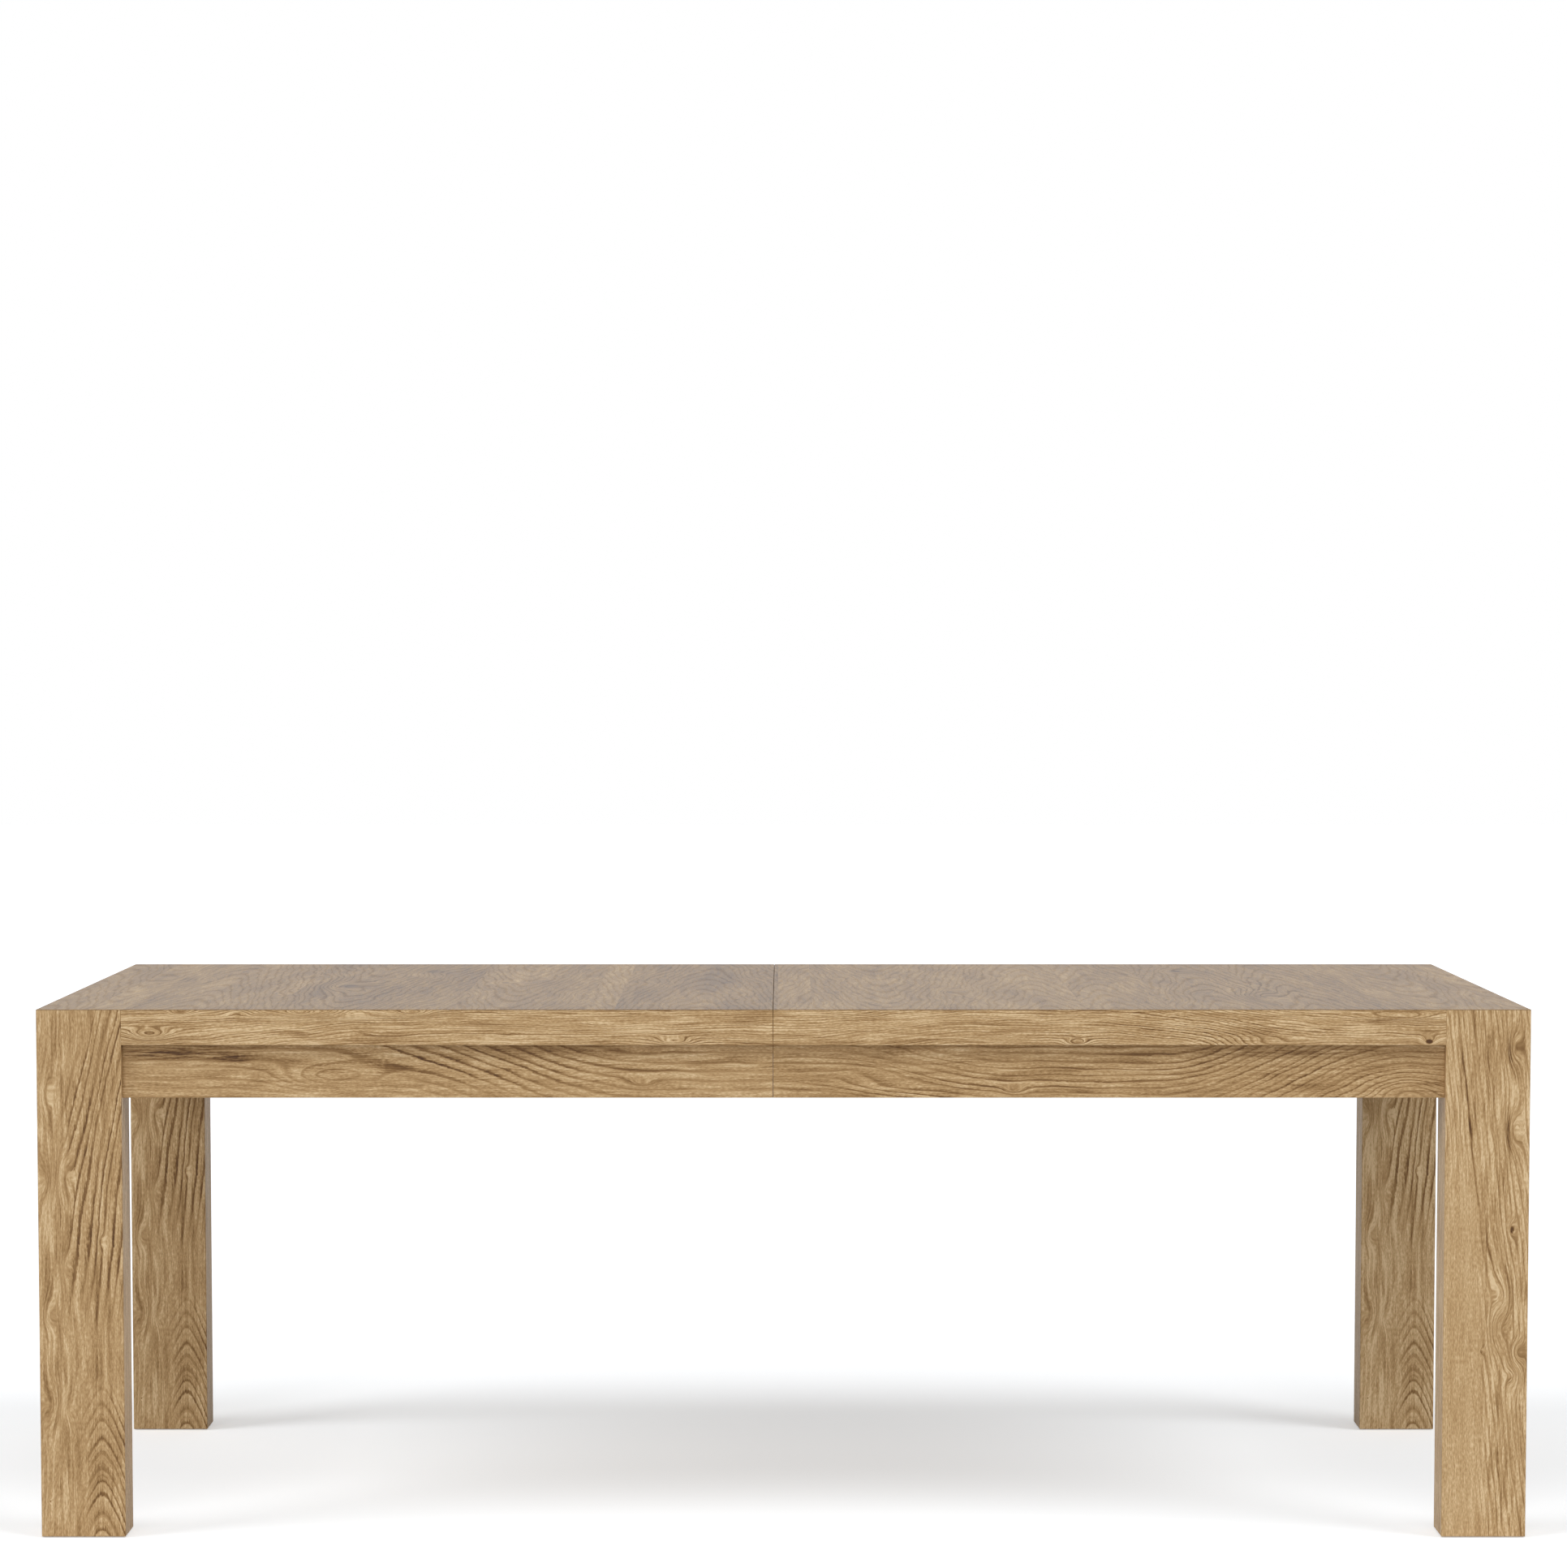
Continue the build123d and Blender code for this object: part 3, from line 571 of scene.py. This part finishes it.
def top_material():
    """Veneer boards, whose arches point to the front or to the back by their seed."""
    material, tree, shader = oak_material("oak_top_boards", TOP_GLOSS)
    across, along = grain_fields(tree, "Y")[:2]
    tone, axis, seed = board_fields(tree, across)
    facing = seed.math("SINE").math("SIGN")
    bent, heart = bent_grain(across, along, seed, TOP_WANDER, TOP_RIPPLE, TOP_EYES)
    arched = arches(bent, axis, TOP_ARCH_FLAT, TOP_RING_SPACING)
    rings = arched - along * facing / TOP_RING_LENGTH
    strength = ring_strength(across, along, TOP_STRENGTH, TOP_FLAMES)
    shade = layer_noise(TOP_SHADES, bent, along, seed) * TOP_SHADE_DEPTH
    # The last term lowers the top's tone as painted shade for the dimmer light on the top
    tone = tone + shade + SHADE_PAINTED_TOP_TONE
    wood = Wood(bent, along, rings, seed, strength, tone, heart, TOP_HAIR, TOP_FINE, SHADE_PAINTED_TOP_COLOURS)
    oak_surface(tree, shader, wood)
    return material


# Legs, measured from the left edge of a face and down from the table's top

SIDE_OFFSET = 300.0
LEG_FINE = 0.9

# The flame leg has bold slanting rings at the upper right, arches at the lower right and fine swirls on
# the left. Its slanting rings bend, and change to arches where both are faint.
FLAME_WANDER = 7.0
FLAME_RIPPLE = 2.5
SLANT_START = 118.0
SLANT = 0.25
SLANT_BEND = 30.0
SLANT_BEND_RUN = (180.0, 480.0)
SLANT_SPACING = 11.0
SLANT_STRENGTH = 1.1
SLANT_LEFT_EDGE = 96.0
SLANT_LEFT_SHIFT = 50.0
SLANT_LEFT_RUN = (-40.0, 150.0)
SLANT_LEFT_BLUR = (-14.0, 10.0)
SLANT_FADE = (330.0, 460.0)
CHANGE_RUN = (470.0, 490.0)
ARCH_AXIS = 87.0
ARCH_FLAT = 12.0
ARCH_SPACING = 9.0
ARCH_START = 500.0
ARCH_LENGTH = 22.0
ARCH_STRENGTH = 0.95
ARCH_RISE = (530.0, 620.0)
ARCH_LEFT_BLUR = (58.0, 80.0)
SWIRL_STRENGTH = 0.12
SWIRL_HAIR = 1.3
SWIRL_HAIR_DROP = 0.6
SWIRL_RIGHT_BLUR = (30.0, 70.0)
FLAME_EYES = (
    Eye(40, 239, 11, 30, 10),
    Eye(13, 122, 9, 30, 9),
    Eye(12, 244, 9, 26, -10),
    Eye(40, 366, 8, 20, 8),
    Eye(14, 437, 10, 22, 9),
    Eye(20, 566, 12, 32, -11),
    Eye(40, 574, 10, 24, 9),
    Eye(90, 333, 5, 9, 6, 0.2),
    Eye(13, 709, 3, 4, 3, 0.45),
)
FLAME_STAINS = (
    Stain(80, 440, 2.5, 90, 0.50),
    Stain(86, 530, 2.5, 60, 0.40),
    Stain(100, 430, 2, 110, 0.35),
)

# The streak leg has wavy rings and a knot along its outer half, and plain straight grain lower down on
# its inner half. Its stains lie along its slanting grain: their places across are those at its top.
STREAK_WANDER = 8.0
STREAK_RIPPLE = 2.5
STREAK_SLANT = 0.12
STREAK_SPACING = 7.5
STREAK_STRENGTH = 0.62
STREAK_HAIR = 1.2
PLAIN_RIGHT_BLUR = (45.0, 66.0)
PLAIN_START = (120.0, 300.0)
PLAIN_STRENGTH_DROP = 0.57
PLAIN_HAIR_DROP = 1.0
STREAK_EYES = (
    Eye(97, 316, 6, 13, 9, 0.6),
    Eye(106, 493, 11, 17, 13),
    Eye(101, 528, 10, 15, -12),
    Eye(80, 462, 14, 30, 12),
    Eye(83, 410, 12, 26, -12),
    Eye(55, 492, 4, 6, 5, 0.30),
    Eye(98, 55, 10, 26, 14, 0.10),
    Eye(98, 175, 11, 28, 15, 0.10),
)
STREAK_STAINS = (
    Stain(90, 66, 6, 30, 0.95),
    Stain(77, 174, 6, 30, 0.95),
    Stain(15, 160, 2, 150, 0.60),
    Stain(22, 330, 2, 70, 0.45),
    Stain(34, 300, 2, 70, 0.35),
    Stain(40, 390, 3, 60, 0.40),
    Stain(2, 620, 3, 80, 0.40),
)


def leg_fields(tree, leg):
    """Place across a leg's face from its left edge, and down from the table's top.

    The faces turned to the side have a figure of their own, so they are offset from the front's.
    """
    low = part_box(leg)[0]
    across, along, side = grain_fields(tree, "Z")
    across = across - low.x * MM
    down = cad_bounds[1].z * MM - along
    return across + side * (SIDE_OFFSET - low.y * MM + low.x * MM), down


def flame_rings(bent, down):
    """Slanting rings above that change to arches below."""
    bend = down.smooth(*SLANT_BEND_RUN) * SLANT_BEND
    slanted = (SLANT_START - bent - down * SLANT + bend) / SLANT_SPACING
    arched = arches(bent, ARCH_AXIS, ARCH_FLAT, ARCH_SPACING) - (down - ARCH_START) / ARCH_LENGTH
    return slanted.toward(arched, down.smooth(*CHANGE_RUN))


def flame_strength(across, down):
    """Bold where the rings slant at the upper right and arch at the lower right."""
    left = SLANT_LEFT_EDGE - down.smooth(*SLANT_LEFT_RUN) * SLANT_LEFT_SHIFT
    upper = (across - left).smooth(*SLANT_LEFT_BLUR) * (1.0 - down.smooth(*SLANT_FADE))
    lower = down.smooth(*ARCH_RISE) * across.smooth(*ARCH_LEFT_BLUR)
    return upper * SLANT_STRENGTH + lower * ARCH_STRENGTH + SWIRL_STRENGTH


def flame_leg(leg, seed, tone):
    material, tree, shader = oak_material("oak_" + leg, FACE_GLOSS)
    across, down = leg_fields(tree, leg)
    bent, heart = bent_grain(across, down, seed, FLAME_WANDER, FLAME_RIPPLE, FLAME_EYES)
    rings = flame_rings(bent, down)
    strength = flame_strength(across, down)
    hair = SWIRL_HAIR - across.smooth(*SWIRL_RIGHT_BLUR) * SWIRL_HAIR_DROP
    dark = stain_depth(bent, down, seed, FLAME_STAINS) + heart
    oak_surface(tree, shader, Wood(bent, down, rings, seed, strength, tone, dark, hair, LEG_FINE))
    return material


def streak_leg(leg, seed, tone):
    material, tree, shader = oak_material("oak_" + leg, FACE_GLOSS)
    across, down = leg_fields(tree, leg)
    bent, heart = bent_grain(across, down, seed, STREAK_WANDER, STREAK_RIPPLE, STREAK_EYES)
    slanted = bent - down * STREAK_SLANT
    rings = slanted / STREAK_SPACING
    plain = (1.0 - across.smooth(*PLAIN_RIGHT_BLUR)) * down.smooth(*PLAIN_START)
    strength = STREAK_STRENGTH - plain * PLAIN_STRENGTH_DROP
    hair = STREAK_HAIR - plain * PLAIN_HAIR_DROP
    dark = stain_depth(slanted, down, seed, STREAK_STAINS) + heart
    oak_surface(tree, shader, Wood(bent, down, rings, seed, strength, tone, dark, hair, LEG_FINE))
    return material


# Bands and aprons

# The figure of a long piece: the spacing of its rings, how bold they are, its hairlines, how coarse its
# fibres are, how its grain strays, and its eyes, swells, leans, flames and stains
FIGURE_FIELDS = "spacing base hair fine wander ripple eyes swells leans flames stains"
Figure = namedtuple("Figure", FIGURE_FIELDS, defaults=((),) * 5)
PLAIN_BAND = Figure(3.6, 0.6, 1.1, 0.7, 9.0, 3.5)
PLAIN_APRON = Figure(9.0, 0.7, 0.9, 0.8, 8.0, 3.0)
LEAF_FIGURE = Figure(10.0, 0.7, 0.9, 0.8, 8.0, 3.0)
BAND_FIGURE = Figure(
    spacing=3.4,
    base=0.75,
    hair=1.1,
    fine=0.7,
    wander=9.0,
    ripple=3.5,
    eyes=(
        Eye(715, 418, 5, 16, 11, 0.25),
        Eye(716, 922, 8, 12, 12, 0.90),
        Eye(716, -156, 6, 26, 10),
        Eye(726, -906, 9, 28, 14),
        Eye(758, -860, 6, 18, 9, 0.20),
        Eye(758, -780, 6, 24, -9),
        Eye(758, -690, 5, 20, 9, 0.15),
        Eye(758, -610, 6, 26, -9),
        Eye(758, -530, 5, 20, 9, 0.15),
    ),
    swells=(
        Swell(758, -650, 9, 110, 20),
        Swell(752, 875, 7, 50, 12),
        Swell(712, 690, 9, 70, 14),
    ),
    leans=(Lean(-860, -560, -22), Lean(0, 300, -24), Lean(440, 780, 40)),
    flames=(
        Flame(752, -600, 9, 150, 0.7),
        Flame(726, -906, 14, 40, 0.6),
        Flame(716, -140, 12, 60, 0.6),
        Flame(735, 610, 22, 150, 0.6),
        Flame(718, 418, 12, 45, 0.5),
        Flame(745, 890, 14, 60, 0.5),
    ),
    stains=(Stain(720, 600, 6, 90, 0.12),),
)
LEFT_APRON = Figure(
    spacing=13.5,
    base=0.30,
    hair=0.9,
    fine=0.8,
    wander=7.0,
    ripple=2.5,
    eyes=(
        Eye(693, -784, 4, 10, 6, 0.35),
        Eye(655, -205, 9, 26, 11),
    ),
    swells=(Swell(664, -639, 20, 72, 60),),
    leans=(Lean(-660, -190, 125),),
    flames=(
        Flame(688, -460, 34, 230, 1.15),
        Flame(670, -590, 24, 62, -0.66),
        Flame(650, -200, 26, 50, 0.30),
    ),
    stains=(
        Stain(699, -880, 8, 85, 0.95),
        Stain(692, -784, 6, 26, 0.75),
        Stain(704, -300, 6, 120, 0.30),
    ),
)
RIGHT_APRON = Figure(
    spacing=9.5,
    base=0.40,
    hair=0.9,
    fine=0.8,
    wander=8.0,
    ripple=3.0,
    eyes=(Eye(645, 330, 7, 18, 8, 0.10),),
    swells=(Swell(650, 140, 15, 80, 14), Swell(642, 895, 24, 48, -29)),
    leans=(Lean(60, 330, 46), Lean(540, 900, -120)),
    flames=(
        Flame(646, 205, 20, 100, 0.90),
        Flame(672, 450, 40, 180, 0.50),
        Flame(672, 760, 40, 170, 0.60),
    ),
    stains=(Stain(700, 720, 6, 170, 0.40),),
)


def rail_material(name, along_axis, figure, seed, tone):
    """A long piece with its grain along it: bands and aprons."""
    material, tree, shader = oak_material(name, FACE_GLOSS)
    across, along = grain_fields(tree, along_axis)[:2]
    bent, heart = bent_grain(across, along, seed, figure.wander, figure.ripple, figure.eyes)
    rings = ring_place(bent, across, along, figure.swells, figure.leans) / figure.spacing
    strength = ring_strength(across, along, figure.base, figure.flames)
    dark = stain_depth(across, along, seed, figure.stains) + heart
    wood = Wood(bent, along, rings, seed, strength, tone, dark, figure.hair, figure.fine)
    oak_surface(tree, shader, wood)
    return material


# Hidden woods, metals and plastics

TIMBER_WANDER = 6.0
TIMBER_RIPPLE = 2.0
TIMBER_RING_RISE = (0.1, 0.9)
TIMBER_RING_SHADE = 0.5
TIMBER_FIBRES = Layer(1.5, 45.0, 2.0, 3.0)
TIMBER_FIBRE_SHADE = 0.25
TIMBER_FLECKS = Layer(1.0, 4.0, 7.0)
TIMBER_FLECK_EDGE = (0.25, 0.6)
TIMBER_FLECK_SHADE = 0.2
TIMBER_MIDDLE = 0.35
TIMBER_ROUGHNESS = 0.58
TIMBER_ROUGH_FIBRES = 0.06
TIMBER_BUMP = 0.0002


def plain_wood(name, light, dark, along, spacing, seed):
    """Straight-grained timber of the slides and frame."""
    material, tree, shader = new_material(name)
    across, length = grain_fields(tree, along)[:2]
    bent = bent_grain(across, length, seed, TIMBER_WANDER, TIMBER_RIPPLE)[0]
    rings = (bent / spacing).fraction().smooth(*TIMBER_RING_RISE)
    fibres = layer_noise(TIMBER_FIBRES, across, length, seed)
    flecks = layer_noise(TIMBER_FLECKS, across, length, seed).smooth(*TIMBER_FLECK_EDGE)
    value = rings * TIMBER_RING_SHADE + fibres * TIMBER_FIBRE_SHADE
    value = value - flecks * TIMBER_FLECK_SHADE + TIMBER_MIDDLE
    colour_by(value, shader, ((0.0, dark), (1.0, light)))
    feed(tree, shader.inputs["Roughness"], fibres * TIMBER_ROUGH_FIBRES + TIMBER_ROUGHNESS)
    bump(tree, shader, value, TIMBER_BUMP)
    return material


METAL_CLOUDS = Layer(9.0, 9.0, 0.0)
METAL_CLOUD_SHADE = 0.35
METAL_SCRATCHES = Layer(0.5, 7.0, 4.0)
METAL_SCRATCH_SHADE = 0.2
METAL_MIDDLE = 0.5
METAL_ROUGH_CLOUDS = 0.05
METAL_ROUGH_SCRATCHES = 0.06
METAL_BUMP = 0.00003


def metal(name, light, dark, roughness, seed):
    """Plated metal with a faint cloudy finish and fine scratches."""
    material, tree, shader = new_material(name)
    x, y, z = place_fields(tree)
    shader.inputs["Metallic"].default_value = 1.0
    clouds = layer_noise(METAL_CLOUDS, x + z, y - z, seed)
    scratches = layer_noise(METAL_SCRATCHES, x + z, y + z, seed)
    value = clouds * METAL_CLOUD_SHADE + scratches * METAL_SCRATCH_SHADE + METAL_MIDDLE
    colour_by(value, shader, ((0.0, dark), (1.0, light)))
    roughness = scratches * METAL_ROUGH_SCRATCHES + clouds * METAL_ROUGH_CLOUDS + roughness
    feed(tree, shader.inputs["Roughness"], roughness)
    bump(tree, shader, scratches, METAL_BUMP)
    return material


NYLON_GRAIN = Layer(0.6, 0.6, 0.0)
NYLON_GRAIN_SHADE = 0.25
NYLON_CLOUDS = Layer(14.0, 14.0, 2.0)
NYLON_CLOUD_SHADE = 0.3
NYLON_MIDDLE = 0.5
NYLON_ROUGHNESS = 0.48
NYLON_ROUGH_GRAIN = 0.08
NYLON_BUMP = 0.00005


def moulded_nylon(name, light, dark, seed):
    """Moulded plastic with a fine eggshell texture."""
    material, tree, shader = new_material(name)
    x, y, z = place_fields(tree)
    grain = layer_noise(NYLON_GRAIN, x + z, y - z, seed)
    clouds = layer_noise(NYLON_CLOUDS, x + z, y + z, seed)
    value = grain * NYLON_GRAIN_SHADE + clouds * NYLON_CLOUD_SHADE + NYLON_MIDDLE
    colour_by(value, shader, ((0.0, dark), (1.0, light)))
    feed(tree, shader.inputs["Roughness"], grain * NYLON_ROUGH_GRAIN + NYLON_ROUGHNESS)
    bump(tree, shader, grain, NYLON_BUMP)
    return material


# Dressing the nodes

def dress(names, material):
    """Gives CAD nodes a material in place of the one they came with."""
    for name in names:
        node = nodes[name]
        if not node.material_slots:
            node.data.materials.append(material)
        for slot in node.material_slots:
            slot.material = material


def sides(*names):
    """The left and right pieces of each name."""
    return [side + name for side in ("left_", "right_") for name in names]


def fronts(*names):
    """The front and back pieces of each name."""
    return [place + name for place in ("front_", "back_") for name in names]


# How light the legs with the flame figure are; the right back leg is lighter than the others as painted
# light against the shade it stands in under the table
FLAME_LEGS = {"left_front_leg": 0.0, "left_back_leg": 0.02, "right_back_leg": 0.10}


def dress_legs():
    for leg, tone in FLAME_LEGS.items():
        dress([leg], flame_leg(leg, seed=1.0, tone=tone))
    dress(["right_front_leg"], streak_leg("right_front_leg", seed=2.0, tone=0.08))


def dress_rails(names, label, along_axis, figure, seed, tone):
    dress(names, rail_material("oak_" + label, along_axis, figure, seed, tone))


def dress_bands():
    dress_rails(sides("front_band"), "front_band", "X", BAND_FIGURE, seed=5.0, tone=0.07)
    dress_rails(sides("back_band"), "back_band", "X", BAND_FIGURE, seed=6.0, tone=0.07)
    dress_rails(sides("end_band"), "end_band", "Y", PLAIN_BAND, seed=7.0, tone=0.05)


def dress_aprons():
    for end, seed in (("front", 8.0), ("back", 9.0)):
        left, right = sides(f"{end}_apron")
        dress_rails([left], left, "X", LEFT_APRON, seed, tone=0.0)
        dress_rails([right], right, "X", RIGHT_APRON, seed, tone=-0.03)
    dress_rails(sides("end_apron"), "end_apron", "Y", PLAIN_APRON, seed=10.0, tone=0.02)


def dress_leaf():
    bands = ["leaf_front_band", "leaf_back_band"]
    dress_rails(["leaf_panel"], "leaf_panel", "X", LEAF_FIGURE, seed=12.0, tone=0.0)
    dress_rails(bands, "leaf_band", "Y", PLAIN_BAND, seed=13.0, tone=0.0)


# The light and the dark colour of what is inside
BEECH_COLOURS = (srgb(206, 172, 132), srgb(166, 128, 90))
PINE_COLOURS = (srgb(221, 190, 140), srgb(180, 140, 90))
ZINC_COLOURS = (srgb(196, 199, 204), srgb(140, 144, 152))
NYLON_COLOURS = (srgb(212, 207, 192), srgb(190, 184, 167))
BRASS_COLOURS = (srgb(214, 178, 104), srgb(164, 124, 62))


def dress_inside():
    beech = plain_wood("beech", *BEECH_COLOURS, "X", spacing=5.0, seed=21.0)
    dress(sides("front_rail", "back_rail") + fronts("centre_rail") + ["seam_pins", "leaf_pins"], beech)
    pine = plain_wood("pine", *PINE_COLOURS, "X", spacing=4.0, seed=22.0)
    dress(sides("corner_braces") + fronts("leaf_runner"), pine)
    zinc = metal("zinc_plate", *ZINC_COLOURS, roughness=0.34, seed=31.0)
    dress(sides("leg_bolts", "leg_nuts", "rail_screws"), zinc)
    dress(fronts("pinion_axle", "latch_arm"), zinc)
    dress(["latch_plates", "latch_keepers", "latch_screws", "keeper_screws", "runner_screws"], zinc)
    nylon = moulded_nylon("ivory_nylon", *NYLON_COLOURS, seed=41.0)
    dress(sides("gear_racks", "front_foot", "back_foot") + fronts("pinion"), nylon)
    brass = metal("brass", *BRASS_COLOURS, roughness=0.30, seed=51.0)
    dress(sides("foot_inserts") + ["seam_sleeves", "leaf_sleeves"], brass)


def dress_table():
    dress(sides("top_panel"), top_material())
    dress_legs()
    dress_bands()
    dress_aprons()
    dress_leaf()
    dress_inside()


# Studio

def shown_share(tree):
    """1 for the rays that show the background: camera, mirror and glass rays."""
    path = tree.nodes.new("ShaderNodeLightPath")
    share = Field(tree, path.outputs["Is Camera Ray"])
    for ray in ("Is Glossy Ray", "Is Transmission Ray"):
        share = share.at_least(Field(tree, path.outputs[ray]))
    return share


def choose_shown(tree, hidden, shown, output):
    """Sends one shader to the output for the rays that show the background and another for the rest."""
    choice = tree.nodes.new("ShaderNodeMixShader")
    feed(tree, choice.inputs[0], shown_share(tree))
    tree.links.new(hidden.outputs[0], choice.inputs[1])
    tree.links.new(shown.outputs[0], choice.inputs[2])
    tree.links.new(choice.outputs[0], output.inputs["Surface"])


def diffuse(tree, colour):
    shader = tree.nodes.new("ShaderNodeBsdfDiffuse")
    shader.inputs["Color"].default_value = colour
    return shader


def floor_material():
    """Pale floor that glows a little where it shows, so that it is white outside the table's shadow."""
    material = bpy.data.materials.new("floor_white")
    material.use_nodes = True
    tree = material.node_tree
    tree.nodes.clear()
    glow = tree.nodes.new("ShaderNodeEmission")
    glow.inputs["Strength"].default_value = FLOOR_GLOW
    shown = tree.nodes.new("ShaderNodeAddShader")
    tree.links.new(diffuse(tree, FLOOR_COLOUR).outputs[0], shown.inputs[0])
    tree.links.new(glow.outputs[0], shown.inputs[1])
    output = tree.nodes.new("ShaderNodeOutputMaterial")
    choose_shown(tree, diffuse(tree, FLOOR_BOUNCE), shown, output)
    return material


def make_floor():
    bpy.ops.mesh.primitive_plane_add(size=FLOOR_SIZE)
    floor = bpy.context.object
    floor.name = "studio_floor"
    floor.data.materials.append(floor_material())


def backdrop(tree, strength):
    shader = tree.nodes.new("ShaderNodeBackground")
    shader.inputs["Color"].default_value = WHITE
    shader.inputs["Strength"].default_value = strength
    return shader


def make_sky():
    """White where it shows, and a dimmer light on the table."""
    world = bpy.data.worlds.new("studio")
    bpy.context.scene.world = world
    world.use_nodes = True
    tree = world.node_tree
    tree.nodes.clear()
    output = tree.nodes.new("ShaderNodeOutputWorld")
    choose_shown(tree, backdrop(tree, SKY_LIGHT), backdrop(tree, BACKDROP_LIGHT), output)


def make_lamp(lamp):
    """A soft sun whose light comes from the lamp's source direction."""
    light = bpy.data.lights.new(lamp.name, "SUN")
    light.energy = lamp.strength
    light.angle = math.radians(lamp.spread)
    sun = bpy.data.objects.new(lamp.name, light)
    bpy.context.scene.collection.objects.link(sun)
    sun.location = [part * LAMP_DISTANCE for part in lamp.source]
    toward = -sun.location
    sun.rotation_euler = toward.to_track_quat("-Z", "Y").to_euler()


def make_camera():
    lens = bpy.data.cameras.new("photo_camera")
    lens.sensor_width = SENSOR_MM
    lens.lens = FOCAL_PIXELS / IMAGE_HEIGHT * SENSOR_MM
    lens.shift_y = CAMERA_SHIFT
    camera = bpy.data.objects.new("photo_camera", lens)
    camera.location = CAMERA_PLACE
    camera.rotation_euler = (math.radians(CAMERA_LEVEL - CAMERA_PITCH), 0.0, 0.0)
    bpy.context.scene.collection.objects.link(camera)
    bpy.context.scene.camera = camera


dress_table()
make_floor()
make_sky()
for lamp in LAMPS:
    make_lamp(lamp)
make_camera()
bpy.context.scene.view_settings.view_transform = "Standard"
